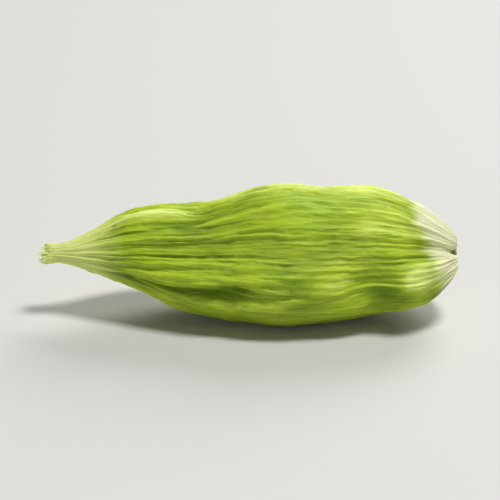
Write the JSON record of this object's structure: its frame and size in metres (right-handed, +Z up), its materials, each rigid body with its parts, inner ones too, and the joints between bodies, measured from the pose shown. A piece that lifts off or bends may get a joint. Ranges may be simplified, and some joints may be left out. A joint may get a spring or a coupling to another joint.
{
  "type": "green cardamom pod",
  "caption": "Dried green cardamom pod, a ribbed three-valved capsule with a narrow beak and a stalk scar, lying on its belly.",
  "frame": {"origin": "on the surface that the pod lies on, under the middle of its bounding box", "axes": "+X along the pod from the beak to the stalk scar, +Z up from the resting spot, and -Y towards the side that the picture shows"},
  "size_m": [0.0226, 0.008, 0.0075],
  "materials": {
    "dried_green_husk": "dry fibrous green husk, satin, with paler ribs and straw-coloured ends"
  },
  "bodies": {
    "root": {"cardamom_pod": "dried_green_husk"}
  },
  "joints": []
}
